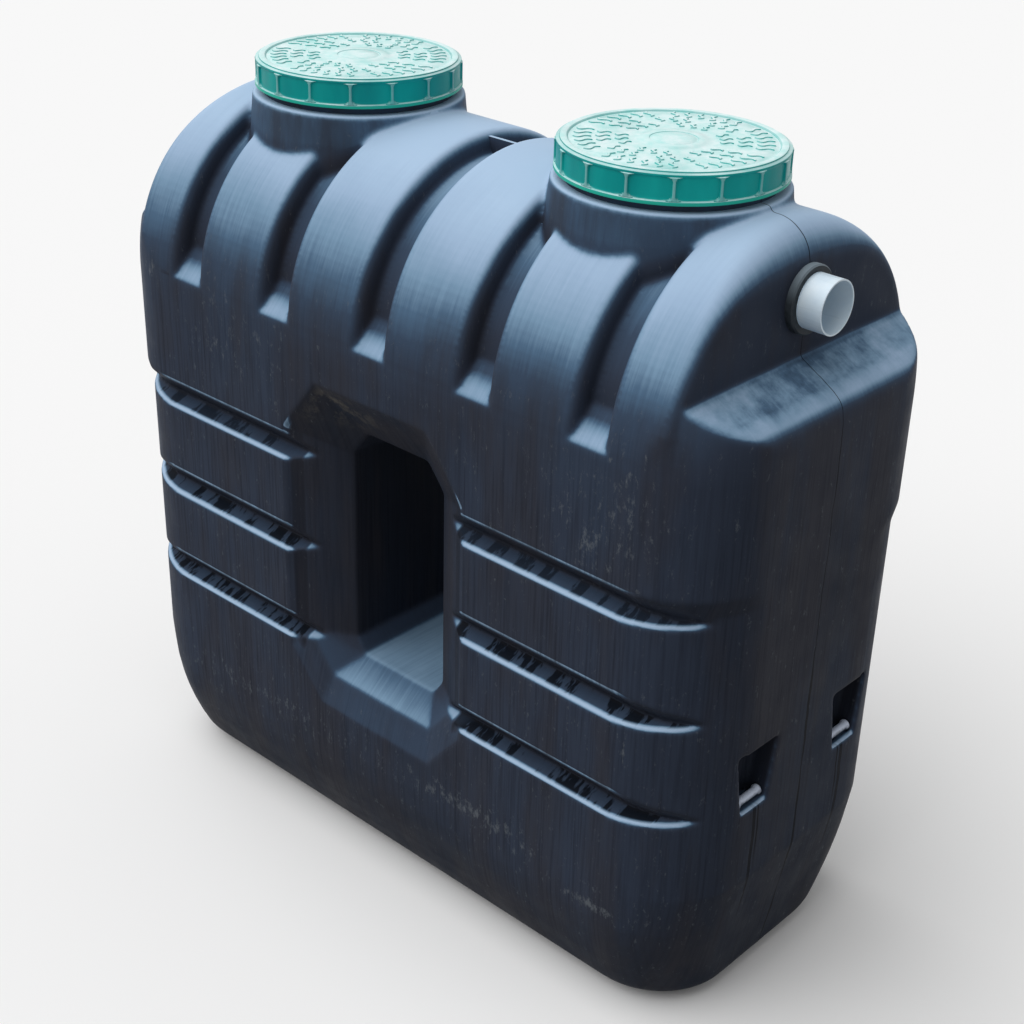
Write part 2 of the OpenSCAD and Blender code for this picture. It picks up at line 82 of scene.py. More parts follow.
end_low, end_high = box_mm("right_end_wall")
HALF_L = end_high.x                        # half the length of the tank
HALF_W = end_high.y                        # half its width, and the radius of its roof
AXIS_Z = end_high.z                        # height of the roof's axis, where the straight sides end
ROOF_TOP = AXIS_Z + HALF_W
lid_low, lid_high = box_mm("right_lid_top")
NECK_X = (lid_low.x + lid_high.x) / 2
LID_R = (lid_high.y - lid_low.y) / 2
LID_TOP = lid_high.z
skirt_low, skirt_high = box_mm("right_lid_skirt")
pipe_low, pipe_high = box_mm("outlet_pipe")
PIPE_Z = (pipe_low.z + pipe_high.z) / 2
PIPE_R = (pipe_high.z - pipe_low.z) / 2
seal_low, seal_high = box_mm("outlet_seal")
roof_end_low, roof_end_high = box_mm("right_roof_end")
WALL_X = roof_end_high.x                   # the upright wall at each end of the roof
groove_low, groove_high = box_mm("roof_groove_4")
PITCH = (groove_low.x + groove_high.x) / 2 # distance between neighbouring roof grooves
SHOULDER_Z = box_mm("right_neck")[1].z
print("half length", round(HALF_L), "half width", round(HALF_W))
print("side height", round(AXIS_Z), "roof top", round(ROOF_TOP), "wall at", round(WALL_X))
print("neck at", round(NECK_X), "lid radius", round(LID_R, 1), "groove pitch", round(PITCH))

# %% [markdown]
# ## Camera
# The camera stands off the front right corner at the height of a person's eyes, with a long lens, so that
# the tank's upright edges run almost parallel. It is made first, because every later choice is judged
# through it.

# %% Camera
camera_at = Vector((2459.8, -2653.7, LID_TOP + 927.7)) * MM
looks_at = Vector((112.4, 0, LID_TOP - 960.1)) * MM
camera_roll = 0.03345
camera_data = bpy.data.cameras.new("camera")
camera = bpy.data.objects.new("camera", camera_data)
bpy.context.collection.objects.link(camera)
aim = (looks_at - camera_at).to_track_quat("-Z", "Y").to_matrix().to_4x4()
camera.matrix_world = Matrix.Translation(camera_at) @ aim @ Matrix.Rotation(camera_roll, 4, "Z")
camera_data.sensor_width = 36
camera_data.lens = 61.37
camera_data.shift_x = -0.01900
camera_data.shift_y = 0.00633
bpy.context.scene.camera = camera
print("camera", [round(c, 2) for c in camera_at], "lens", camera_data.lens)

# %% [markdown]
# ## Helpers for closed forms
# A moulded skin is easiest to make as simple closed forms that are added and cut, then melted into one
# surface. Two kinds of form are enough: a stack of outlines joined into a loft, and an outline turned about
# the roof's axis. Both start from a circle or a face and grow by extruding or spinning it.

# %% Helpers: mesh in millimetres to object, lofts and turned forms
def to_object(bm, name):
    """Scales millimetres to metres, closes and orients the mesh, and links it as an object."""
    bmesh.ops.remove_doubles(bm, verts=bm.verts, dist=0.001)
    bmesh.ops.recalc_face_normals(bm, faces=bm.faces)
    bmesh.ops.scale(bm, vec=(MM, MM, MM), verts=bm.verts)
    mesh = bpy.data.meshes.new(name)
    bm.to_mesh(mesh)
    bm.free()
    piece = bpy.data.objects.new(name, mesh)
    bpy.context.collection.objects.link(piece)
    return piece


def loft(rings, name):
    """A closed form through a list of outlines that all have the same number of points."""
    bm = bmesh.new()
    place = bm.verts.layers.int.new("place")
    bmesh.ops.create_circle(bm, cap_ends=True, segments=len(rings[0]), radius=1)
    cap = bm.faces[:][0]
    for i, vert in enumerate(sorted(bm.verts, key=lambda v: math.atan2(v.co.y, v.co.x) % math.tau)):
        vert[place] = i
        vert.co = rings[0][i]
    for k, ring in enumerate(rings[1:]):
        grown = bmesh.ops.extrude_face_region(bm, geom=[cap])
        if k > 0:
            bmesh.ops.delete(bm, geom=[cap], context="FACES_ONLY")
        cap = [g for g in grown["geom"] if isinstance(g, bmesh.types.BMFace)][0]
        for vert in cap.verts:
            vert.co = ring[vert[place]]
    return to_object(bm, name)


def outline_face(bm, points):
    """A face through points, made from a circle with one corner for each of them."""
    bmesh.ops.create_circle(bm, cap_ends=True, segments=len(points), radius=1)
    corners = sorted(bm.verts, key=lambda v: math.atan2(v.co.y, v.co.x) % math.tau)
    for vert, point in zip(corners, points):
        vert.co = point
    return bm.faces[:][0]


def about_roof(outline, start, end, steps):
    """Turns an outline of (x, radius) about the roof's axis, from start to end degrees above the front."""
    bm = bmesh.new()
    first = math.radians(start)
    points = [Vector((x, -r * math.cos(first), AXIS_Z + r * math.sin(first))) for x, r in outline]
    bmesh.ops.spin(bm, geom=[outline_face(bm, points)], cent=(0, 0, AXIS_Z), axis=(1, 0, 0),
                   angle=math.radians(start - end), steps=steps)
    return bm


def rounded_ring(half_l, half_w, corner, z, steps=14):
    """One level of the body: a rectangle with round corners, as points."""
    points = []
    for quarter, (sx, sy) in enumerate([(1, 1), (-1, 1), (-1, -1), (1, -1)]):
        for i in range(steps + 1):
            a = math.radians(90 * quarter + 90 * i / steps)
            points.append(Vector((sx * (half_l - corner) + corner * math.cos(a),
                                  sy * (half_w - corner) + corner * math.sin(a), z)))
    return points


def stepped(table, z):
    """Reads a value between the rows of a table of (height, value)."""
    for (z0, v0), (z1, v1) in zip(table, table[1:]):
        if z <= z1:
            return v0 + (v1 - v0) * max(0.0, z - z0) / (z1 - z0)
    return table[-1][1]


print("helpers ready")

# %% [markdown]
# ## The lower body
# Seen from above, the body is a rectangle with generous corners. Its foot draws in on all four sides, so
# that the part comes out of its mould. All of that is one loft through level outlines: only the half length,
# half width and corner radius change. A sloping shelf is then cut across the top of each end.

# %% Lower body
FOOT_R = 52.0
END_TAPER, END_TAPER_H = 60.0, 350.0
SIDE_TAPER, SIDE_TAPER_H = 92.0, 300.0
# the shelf: distance from the middle of the tank, and height over the roof's axis
shelf_cut = [(700, 136), (784, 135), (868, 91), (884, 79), (893, 64), (897, 40),
             (990, 20), (990, 220), (700, 220)]
# height, and the radius of the body's corners there
corner_at = [(0, 178), (330, 220), (1035, 220), (1075, 192), (AXIS_Z + 140, 192)]


def foot_round(z):
    return FOOT_R - math.sqrt(max(0.0, FOOT_R ** 2 - max(0.0, FOOT_R - z) ** 2))


def half_length_at(z):
    return HALF_L - END_TAPER * max(0.0, 1 - z / END_TAPER_H) - foot_round(z)


def half_width_at(z):
    if z > AXIS_Z:
        return math.sqrt(HALF_W ** 2 - (z - AXIS_Z) ** 2) - 0.5
    return HALF_W - SIDE_TAPER * max(0.0, 1 - z / SIDE_TAPER_H) ** 2 - foot_round(z)


levels = [FOOT_R * (1 - math.cos(math.radians(a))) for a in range(0, 91, 15)]
levels += [85, 125, 165, 205, 250, 300, 350, 700, 1035, 1075]
levels += [AXIS_Z + h for h in (0, 30, 55, 80, 100, 120, 140)]
body = loft([rounded_ring(half_length_at(z), half_width_at(z), stepped(corner_at, z), z) for z in levels],
            "tank_skin")
print("lower body:", len(levels), "levels,", len(body.data.polygons), "faces")

# %% [markdown]
# ## The roof
# The roof is half a cylinder. Where it meets the upright end wall, its edge is rounded: widely at the crown
# and tightly down the sides. So it is lofted along the tank, and each outline keeps a rounding radius that
# depends on the angle around the roof.

# %% Roof
def roof_round(angle):
    """Rounding radius between the roof and its end wall, at an angle above the horizontal."""
    crown = max(0.0, math.sin(angle))
    return 24 + 58 * crown ** 5


def roof_ring(x):
    """Outline across the roof at x, closed underneath, kept inside the corners of the body."""
    points = []
    corner = stepped(corner_at, AXIS_Z)
    past = max(0.0, abs(x) - (HALF_L - corner))
    widest = HALF_W - corner + math.sqrt(corner * corner - past * past) - 0.5
    for i in range(73):
        angle = math.radians(-10 + 200 * i / 72)
        r = roof_round(angle)
        into = max(0.0, abs(x) - (WALL_X - r))
        radius = HALF_W - r + math.sqrt(max(0.0, r * r - into * into))
        y = max(-widest, min(widest, radius * math.cos(angle)))
        points.append(Vector((x, y, AXIS_Z + radius * math.sin(angle))))
    return points


ends = [WALL_X - 84 * (1 - math.sin(math.radians(a))) for a in (0, 10, 20, 30, 40, 50, 58, 66, 74, 82, 90)]
stations = [-x for x in reversed(ends)] + ends
roof = loft([roof_ring(x) for x in stations], "roof")
print("roof:", len(stations), "outlines,", len(roof.data.polygons), "faces")

# %% [markdown]
# ## Grooves across the roof
# Five grooves stiffen the roof like the hoops of a barrel. Each is a channel turned about the roof's axis,
# with a bevelled edge, that runs out over a short ramp at the top of the straight side. The middle one
# crosses the whole roof, apart from a thin web that the mould leaves at the crown.

# %% Roof grooves
GROOVE_R = HALF_W - 45                     # radius of a groove's floor
channel = [(-31.5, 0), (-27, -1.5), (27, -1.5), (31.5, 0), (38, 27), (41.5, 35), (46, 40.5), (52, 44), (60, 46),
           (60, 78), (-60, 78), (-60, 46), (-52, 44), (-46, 40.5), (-41.5, 35), (-38, 27)]
ramp_foot = Vector((0, -HALF_W, AXIS_Z + 12))
ramp_normal = Vector((0, 53, -45)).normalized()


def groove_cutters(x):
    """The channel over the roof, and its two feet cut off along their ramps."""
    outline = [(x + dx, GROOVE_R + dr) for dx, dr in channel]
    parts = [to_object(about_roof(outline, 24, 156, 60), "groove")]
    for flip in (1, -1):
        bm = about_roof(outline, -15, 26, 24)
        bmesh.ops.bisect_plane(bm, geom=bm.verts[:] + bm.edges[:] + bm.faces[:], plane_co=ramp_foot,
                               plane_no=ramp_normal, clear_outer=True)
        bmesh.ops.holes_fill(bm, edges=[e for e in bm.edges if e.is_boundary])
        bmesh.ops.scale(bm, vec=(1, flip, 1), verts=bm.verts)
        parts.append(to_object(bm, "groove_foot"))
    return parts


roof_cutters = [part for i in range(-2, 3) for part in groove_cutters(PITCH * i)]
print("roof grooves:", len(roof_cutters), "cutters")

# %% [markdown]
# ## Necks, side grooves, window and pockets
# The necks are slightly tapered drums. A side groove is a wedge with a nearly level lower face, a shelf that
# catches dust, and a steep upper face. It turns with the corner and runs out there. The window is lofted
# front to back, flaring at both faces. The pockets at the foot of each end take the anchor bars.

# %% Necks and shelves
def drum(x, radius_low, radius_high, z_low, z_high, name, segments=96):
    bm = bmesh.new()
    middle = Matrix.Translation((x, 0, (z_low + z_high) / 2))
    bmesh.ops.create_cone(bm, cap_ends=True, segments=segments, radius1=radius_low, radius2=radius_high,
                          depth=z_high - z_low, matrix=middle)
    return to_object(bm, name)


necks = [drum(s * NECK_X, 256, 238, SHOULDER_Z - 190, SHOULDER_Z, "neck") for s in (-1, 1)]
shelves = [loft([[Vector((s * x, y, AXIS_Z + h)) for x, h in shelf_cut] for y in (-450, 450)], "shelf")
           for s in (-1, 1)]
print("necks:", len(necks), "shelves:", len(shelves))


# %% Side grooves
def prism(points, shift, name):
    """A face through points, extruded by a shift into a closed form."""
    bm = bmesh.new()
    face = outline_face(bm, points)
    grown = bmesh.ops.extrude_face_region(bm, geom=[face], use_keep_orig=True)
    bmesh.ops.translate(bm, vec=shift, verts=[g for g in grown["geom"] if isinstance(g, bmesh.types.BMVert)])
    return to_object(bm, name)


SIDE_GROOVE_Z, SIDE_GROOVE_PITCH, SIDE_GROOVE_D = 534.5, 233.4, 48.0
ROOT_RISE = 18.6                           # the deepest edge lies this far over the groove's lip
SHELF_FALL, UPPER_RISE = 29.6, 80.0        # how far the two faces fall and rise on their way out
# along the side, and how far in the groove has turned
wedge_path = [(130, 0), (735, 0), (790, 13), (850, 46), (900, 92)]
side_cutters = []
for i in range(3):
    z = SIDE_GROOVE_Z + SIDE_GROOVE_PITCH * i
    for sx in (-1, 1):
        for sy in (-1, 1):
            rings = []
            for x, turned in wedge_path:
                root = HALF_W - SIDE_GROOVE_D - turned
                out = HALF_W + 29 - turned * 0.4
                rise = (out - root) / (29 + SIDE_GROOVE_D)
                deep_z = z + ROOT_RISE
                rings.append([Vector((sx * x, sy * out, deep_z - SHELF_FALL * rise)),
                              Vector((sx * x, sy * root, deep_z)),
                              Vector((sx * x, sy * out, deep_z + UPPER_RISE * rise))])
            side_cutters.append(loft(rings, "side_groove"))
print("side grooves:", len(side_cutters), "cutters")

# %% Window and pockets
WINDOW_D = 87.0                            # depth of the flare
# depth, half width, foot, top, and the bevels (width, height) of foot and top
window_rows = [
    (-30, 187.4 + 140, 309.4, 1262.8, (127, 145), (130, 162)),
    (25, 238.8, 470, 1184.4, (79.4, 95.6), (91.2, 112.9)),
    (WINDOW_D, 139, 522, 1096, (26, 40), (47, 58)),
]


def window_ring(row, side):
    depth, w, z0, z1, foot, top = row
    corners = [(w, z0 + foot[1]), (w, z1 - top[1]), (w - top[0], z1), (top[0] - w, z1),
               (-w, z1 - top[1]), (-w, z0 + foot[1]), (foot[0] - w, z0), (w - foot[0], z0)]
    return [Vector((x, side * (HALF_W - depth), z)) for x, z in corners]


window = loft([window_ring(row, -1) for row in window_rows]
              + [window_ring(row, 1) for row in reversed(window_rows)], "window")
pockets = []
for sx in (-1, 1):
    for sy in (-1, 1):
        foot, top = 40, 65
        ring = [(sy * 165 - foot, 535), (sy * 165 + foot, 535), (sy * 165 + top, 685), (sy * 165 - top, 685)]
        pockets.append(prism([Vector((sx * 842, y, z)) for y, z in ring], (sx * 110, 0, 0), "pocket"))
print("window and", len(pockets), "pockets")

# %% [markdown]
# ## Melting the forms into one skin
# Moulded plastic has no sharp edges and no seams between its features. After the forms are added and cut,
# a voxel remesh turns them into one even net, a few rounds of smoothing round every edge by about the wall's
# thickness, and a decimation takes out the faces that flat areas don't need.

# %% Combine, remesh and smooth
def combine(base, others, operation):
    """Adds or cuts closed forms with one Boolean and applies it."""
    group = bpy.data.collections.new("operands")
    bpy.context.scene.collection.children.link(group)
    for other in others:
        group.objects.link(other)
    boolean = base.modifiers.new("combine", "BOOLEAN")
    boolean.operation = operation
    boolean.solver = "MANIFOLD"
    boolean.operand_type = "COLLECTION"
    boolean.collection = group
    apply_modifiers(base)
    for other in others:
        bpy.data.objects.remove(other)
    bpy.data.collections.remove(group)


def apply_modifiers(piece):
    """Replaces the mesh by its result after all modifiers."""
    graph = bpy.context.evaluated_depsgraph_get()
    mesh = bpy.data.meshes.new_from_object(piece.evaluated_get(graph))
    piece.modifiers.clear()
    old = piece.data
    piece.data = mesh
    bpy.data.meshes.remove(old)


VOXEL = 0.005
combine(body, shelves, "DIFFERENCE")
combine(body, [roof], "UNION")
combine(body, roof_cutters, "DIFFERENCE")
combine(body, necks, "UNION")
combine(body, side_cutters + pockets + [window], "DIFFERENCE")
remesh = body.modifiers.new("remesh", "REMESH")
remesh.mode = "VOXEL"
remesh.voxel_size = VOXEL
smooth = body.modifiers.new("smooth", "SMOOTH")
smooth.factor = 0.5
smooth.iterations = 7
apply_modifiers(body)
lips = body.vertex_groups.new(name="lips")
for vert in body.data.vertices:
    x, y, z = abs(vert.co.x) / MM, abs(vert.co.y) / MM, vert.co.z / MM - AXIS_Z
    if x > 795 and 20 < z < 125:
        lips.add([vert.index], min(1.0, (x - 795) / 20), "REPLACE")
soften = body.modifiers.new("soften", "SMOOTH")
soften.factor = 0.5
soften.iterations = 14
soften.vertex_group = "lips"
apply_modifiers(body)
body.vertex_groups.clear()
print("even net:", len(body.data.polygons), "faces")
thin = body.modifiers.new("thin", "DECIMATE")
thin.ratio = 0.165
apply_modifiers(body)
print("skin:", len(body.data.polygons), "faces")

# %% [markdown]
# ## Hollowing the skin
# The real tank is a shell, with one chamber on each side of the window. A person can look into it through
# a manhole or a pipe, so the chambers, manholes and pipe bores are cut out last, after the smoothing, and
# their edges stay crisp. Edges over 40 degrees are then marked sharp and everything else is shaded smooth.

# %% Chambers, manholes and pipe bores
def rod(axis_from, axis_to, y, z, radius, name, segments=64):
    """A round bar along the tank, from one x to another."""
    bm = bmesh.new()
    turn = Matrix.Translation(((axis_from + axis_to) / 2, y, z)) @ Matrix.Rotation(math.radians(90), 4, "Y")
    bmesh.ops.create_cone(bm, cap_ends=True, segments=segments, radius1=radius, radius2=radius,
                          depth=abs(axis_to - axis_from), matrix=turn)
    return to_object(bm, name)


def finish_edges(piece, degrees=40):
    """Marks edges sharper than an angle and shades the rest smooth."""
    piece.data.shade_smooth()
    piece.data.set_sharp_from_angle(angle=math.radians(degrees))


BORE_R = 62.3                              # the hole in the end wall, which the rubber seal fills
MANHOLE_R = box_mm("right_collar")[1].y - 12
cavities = []
for s in (-1, 1):
    middle = Vector((s * 465, 0, 0))
    cavities.append(loft([[p + middle for p in rounded_ring(270, 305, 120, z, 8)] for z in (60, AXIS_Z + 20)],
                         "chamber"))
    cavities.append(rod(s * 200, s * 730, 0, AXIS_Z, 328, "vault", 96))
    cavities.append(drum(s * NECK_X, MANHOLE_R, MANHOLE_R, AXIS_Z + 100, SHOULDER_Z + 20, "manhole"))
    cavities.append(rod(s * 690, s * 900, 0, PIPE_Z, BORE_R, "bore"))
combine(body, cavities, "DIFFERENCE")
web_outline = [(-36, GROOVE_R - 8), (36, GROOVE_R - 8), (46, HALF_W - 10), (-46, HALF_W - 10)]
web = loft([[Vector((x, y, AXIS_Z + z)) for x, z in web_outline] for y in (4.5, -4.5)], "web")
combine(body, [web], "UNION")
finish_edges(body)
print("hollow skin:", len(body.data.polygons), "faces")

# %% [markdown]
# ## The lids
# Each lid is a moulded cap that screws down: a disc with a raised rim, and a skirt with sixteen narrow grip
# ribs between a lip and a flange. The profile is spun once round. Its columns are then shared out unevenly,
# close together beside each rib, and the columns of a rib are pushed outwards.

# %% Lid profile and grip ribs
RIBS = 16
SKIRT_R = skirt_high.y - 5                 # the skirt between its ribs; the flange stands out 5 more
LID_H = LID_TOP - skirt_low.z
RIB_OUT = 4.5
spread = [0, 1.6, 2.8, 3.6, 5.0, 8, 14, 25]    # distance of the columns from the middle of a rib
sector = math.tau / RIBS
columns = [d / SKIRT_R for d in spread] + [sector / 2] + [sector - d / SKIRT_R for d in spread[:0:-1]]
# radius, height, and half the width of a rib at that height (none at 0)
lid_profile = [
    (20, 62.2, 0), (42, 62.2, 0), (43.5, 61.2, 0), (47, 61.2, 0), (48.5, 62.3, 0), (63, 62.3, 0),
    (66.5, 60.4, 0), (80, 60.2, 0), (120, 60.2, 0), (160, 60.2, 0), (198, 60.2, 0), (200.5, 58.9, 0),
    (205, 58.9, 0), (207.5, 62, 0), (209, 62.5, 0), (219.6, 62.5, 0), (221.0, 62.1, 0),
    (221.6, 61.2, 0), (221.6, 60.0, 0), (222.6, 59.2, 0), (227.6, 58.4, 0), (228.8, 57.6, 0),
    (229.1, 56.4, 0), (229.1, 54.4, 0), (228.7, 53.4, 14), (227.8, 52.4, 9), (227.1, 50.5, 6),
    (227.1, 48, 4.2), (227.1, 44, 3.1), (227.1, 17, 3.1), (227.1, 13.5, 4.2), (227.1, 11, 6.5),
    (227.9, 8.8, 10), (229.8, 7.6, 16), (231.6, 7.0, 0), (232.1, 6.2, 0), (232.1, 0.9, 0),
    (231.3, 0, 0), (222.6, 0, 0), (222.1, 0.6, 0), (222.1, 57.0, 0), (221.4, 57.5, 0), (20, 57.5, 0)]


def chain(bm, points):
    """A row of edges through points, made by extruding one vertex again and again."""
    last = bmesh.ops.create_vert(bm, co=points[0])["vert"][0]
    for point in points[1:]:
        last = bmesh.ops.extrude_vert_indiv(bm, verts=[last])["verts"][0]
        last.co = point
    return bm.verts[:] + bm.edges[:]


def spun(profile, steps):
    """A chain of (radius, height) turned once round the upright axis."""
    bm = bmesh.new()
    geom = chain(bm, [Vector((r, 0, z)) for r, z in profile])
    bmesh.ops.spin(bm, geom=geom, cent=(0, 0, 0), axis=(0, 0, 1), angle=math.tau, steps=steps, use_merge=True)
    bmesh.ops.remove_doubles(bm, verts=bm.verts, dist=0.001)
    return bm


def rib_height(z, off):
    """How far the skirt stands out at a height, off millimetres from the middle of a rib."""
    rows = sorted((h, w) for r, h, w in lid_profile if w > 0)
    if not rows[0][0] <= z <= rows[-1][0]:
        return 0.0
    return RIB_OUT * min(1.0, max(0.0, (stepped(rows, z) + 0.4 - off) / 1.0))


def add_bar(bm, radius, length, turn):
    """One wavy tread bar, lying along a radius, as a closed form sunk a little into the lid's field."""
    made = bmesh.ops.create_grid(bm, x_segments=12, y_segments=1, size=1)
    faces = list({f for v in made["verts"] for f in v.link_faces})
    grown = bmesh.ops.extrude_face_region(bm, geom=faces, use_keep_orig=True)
    raised = {g for g in grown["geom"] if isinstance(g, bmesh.types.BMVert)}
    for vert in made["verts"] + list(raised):
        t = vert.co.x                      # from -1 to 1 along the bar
        top = vert in raised
        half = (BAR_W / 2 - (SLOPE if top else 0)) * math.sqrt(max(0.05, 1 - t ** 6))
        r = radius + (length / 2 - (SLOPE if top else 0)) * t
        across = BAR_WAVE * math.sin(math.pi * t) + half * vert.co.y
        vert.co = (r * math.cos(turn) - across * math.sin(turn), r * math.sin(turn) + across * math.cos(turn),
                   BAR_TOP if top else BAR_TOP - 2.8)


SLOPE = 2.0                                # how far a bar draws in from its foot to its top
BAR_W, BAR_WAVE, BAR_TOP = 10.0, 5.2, 62.4
bar_rings = [(178, 38, 42, 7), (138, 31, 32, 4), (102, 29, 24, 4)]   # radius, length, places, places in a group
print("tread bars on a lid:", sum(n - n // group for _, _, n, group in bar_rings))


def lid(s, first_rib):
    """A lid at one neck, with its first rib turned by some degrees from the tank's length."""
    bm = spun([(r * LID_R / 221.6 if z > 58.9 else r, z) for r, z, _ in lid_profile], RIBS * len(columns))
    for vert in bm.verts:
        radius = math.hypot(vert.co.x, vert.co.y)
        step = round(math.atan2(vert.co.y, vert.co.x) / math.tau * RIBS * len(columns)) % (RIBS * len(columns))
        angle = sector * (step // len(columns)) + columns[step % len(columns)]
        if radius > 226:
            off = SKIRT_R * min(columns[step % len(columns)], sector - columns[step % len(columns)])
            radius = max(radius, min(SKIRT_R + rib_height(vert.co.z, off), SKIRT_R + 5))
        angle += math.radians(first_rib)
        vert.co = (s * NECK_X + radius * math.cos(angle), radius * math.sin(angle), vert.co.z + LID_TOP - LID_H)
    bmesh.ops.holes_fill(bm, edges=[e for e in bm.edges if e.is_boundary], sides=0)
    disc = set(bm.verts)
    for radius, length, places, group in bar_rings:
        for i in range(places):
            if i % group:                  # the first place of each group stays empty, which makes the spokes
                add_bar(bm, radius, length, math.tau * i / places + math.radians(first_rib))
    bmesh.ops.translate(bm, vec=(s * NECK_X, 0, LID_TOP - LID_H), verts=[v for v in bm.verts if v not in disc])
    piece = to_object(bm, ("right" if s > 0 else "left") + "_lid")
    finish_edges(piece, 35)
    return piece


lids = {"left": lid(-1, 20.25), "right": lid(1, 16.25)}
print("lids:", [len(piece.data.polygons) for piece in lids.values()], "faces")

# %% [markdown]
# ## Anchor bars
# A short bar bridges each pocket, for a strap that holds the tank down in wet ground. It is moulded with a
# ring at each end where it meets the pocket's walls. Its profile is spun about its own axis.

# %% Anchor bars
def anchor_bars(side):
    low, high = box_mm(side + "_anchor_bars")
    reach = high.y                         # the bar's outer end, measured from the middle of the tank
    bar_r = (high.z - low.z) / 2
    half = reach - 165
    profile = [(3, half - 3), (bar_r - 2, half - 3), (bar_r, half - 5), (bar_r, half - 11),
               (bar_r - 2, half - 13), (bar_r - 2.6, half - 16), (bar_r - 2.6, 0)]
    profile = profile + [(r, -h) for r, h in profile[-2::-1]]
    bm = spun(profile, 32)
    bmesh.ops.holes_fill(bm, edges=[e for e in bm.edges if e.is_boundary], sides=0)
    bmesh.ops.rotate(bm, verts=bm.verts, cent=(0, 0, 0), matrix=Matrix.Rotation(math.radians(90), 3, "X"))
    bmesh.ops.translate(bm, verts=bm.verts, vec=((low.x + high.x) / 2, 165, (low.z + high.z) / 2))
    copy = bmesh.ops.duplicate(bm, geom=bm.verts[:] + bm.edges[:] + bm.faces[:])["geom"]
    bmesh.ops.translate(bm, verts=[g for g in copy if isinstance(g, bmesh.types.BMVert)], vec=(0, -330, 0))
    piece = to_object(bm, side + "_bars")
    finish_edges(piece, 50)
    return piece


bars = {side: anchor_bars(side) for side in ("left", "right")}
print("anchor bars:", [len(piece.data.polygons) for piece in bars.values()], "faces")

# %% [markdown]
# ## Materials
# All finishes are made of noise on object coordinates, so they need no unwrapping. A few short helpers add
# the nodes, and others say where a point lies on the tank, so that dust, stains, painted shade and painted
# highlights keep to their places.

# %% Helpers: nodes
def new_material(name):
    """A material with an empty node tree apart from its shader and output."""
    material = bpy.data.materials.new(name)
    material.use_nodes = True
    tree = material.node_tree
    shader = tree.nodes["Principled BSDF"]
    return material, tree, shader


def node(tree, kind, inputs=None, **settings):
    """Adds a node, sets its properties, and sets or links its inputs."""
    made = tree.nodes.new(kind)
    for key, value in settings.items():
        setattr(made, key, value)
    for key, value in (inputs or {}).items():
        if isinstance(value, bpy.types.NodeSocket):
            tree.links.new(value, made.inputs[key])
        else:
            made.inputs[key].default_value = value
    return made


def noise(tree, scale, detail=3.0, stretch=(1, 1, 1), seed=0.0, roughness=0.5):
    """Noise from 0 to 1 on object coordinates, stretched along an axis, moved by a seed."""
    coords = node(tree, "ShaderNodeTexCoord").outputs["Object"]
    placed = node(tree, "ShaderNodeMapping", {"Vector": coords, "Location": (seed, seed * 1.7, seed * 0.6),
                                              "Scale": stretch}).outputs["Vector"]
    return node(tree, "ShaderNodeTexNoise", {"Vector": placed, "Scale": scale, "Detail": detail,
                                             "Roughness": roughness}).outputs["Fac"]


def between(tree, value, low, high, out_low=0.0, out_high=1.0):
    """Maps a value from one range to another, clamped."""
    return node(tree, "ShaderNodeMapRange", {"Value": value, "From Min": low, "From Max": high,
                                             "To Min": out_low, "To Max": out_high}).outputs["Result"]


def maths(tree, operation, a, b=0.0):
    return node(tree, "ShaderNodeMath", {0: a, 1: b}, operation=operation).outputs["Value"]


def blend(tree, amount, first, second):
    """Mixes two colours."""
    mixed = node(tree, "ShaderNodeMix", data_type="RGBA")
    for key, value in ((0, amount), (6, first), (7, second)):
        if isinstance(value, bpy.types.NodeSocket):
            tree.links.new(value, mixed.inputs[key])
        else:
            mixed.inputs[key].default_value = value
    return mixed.outputs[2]


def part_of(tree, vector, axis):
    return node(tree, "ShaderNodeSeparateXYZ", {"Vector": vector}).outputs[axis]


print("node helpers ready")

# %% Where a point lies on the tank
def placed(tree):
    """Object coordinates, and their parts, in metres."""
    point = node(tree, "ShaderNodeTexCoord").outputs["Object"]
    parts = node(tree, "ShaderNodeSeparateXYZ", {"Vector": point}).outputs
    return point, parts["X"], parts["Y"], parts["Z"]


def length_of(tree, x, y, z):
    joined = node(tree, "ShaderNodeCombineXYZ", {"X": x, "Y": y, "Z": z}).outputs["Vector"]
    return node(tree, "ShaderNodeVectorMath", {0: joined}, operation="LENGTH").outputs["Value"]


def times(tree, *factors):
    result = factors[0]
    for factor in factors[1:]:
        result = maths(tree, "MULTIPLY", result, factor)
    return result


def total(tree, *values):
    result = values[0]
    for value in values[1:]:
        result = maths(tree, "ADD", result, value)
    return result


def size_of(tree, value):
    return maths(tree, "ABSOLUTE", value)


def most(tree, *values):
    result = values[0]
    for value in values[1:]:
        result = maths(tree, "MAXIMUM", result, value)
    return result


def depth_in_wall(tree):
    """How far a point lies inside the plan outline of the tank, corners included."""
    point, x, y, z = placed(tree)
    corner = 220 * MM
    past_x = maths(tree, "SUBTRACT", size_of(tree, x), HALF_L * MM - corner)
    past_y = maths(tree, "SUBTRACT", size_of(tree, y), HALF_W * MM - corner)
    past = length_of(tree, most(tree, past_x, 0.0), most(tree, past_y, 0.0), 0.0)
    return maths(tree, "SUBTRACT", corner, past)


def depth_in_roof(tree):
    """How far a point lies inside the half cylinder of the roof."""
    point, x, y, z = placed(tree)
    over_axis = maths(tree, "SUBTRACT", z, AXIS_Z * MM)
    return maths(tree, "SUBTRACT", HALF_W * MM, length_of(tree, 0.0, y, over_axis))


print("place helpers ready")
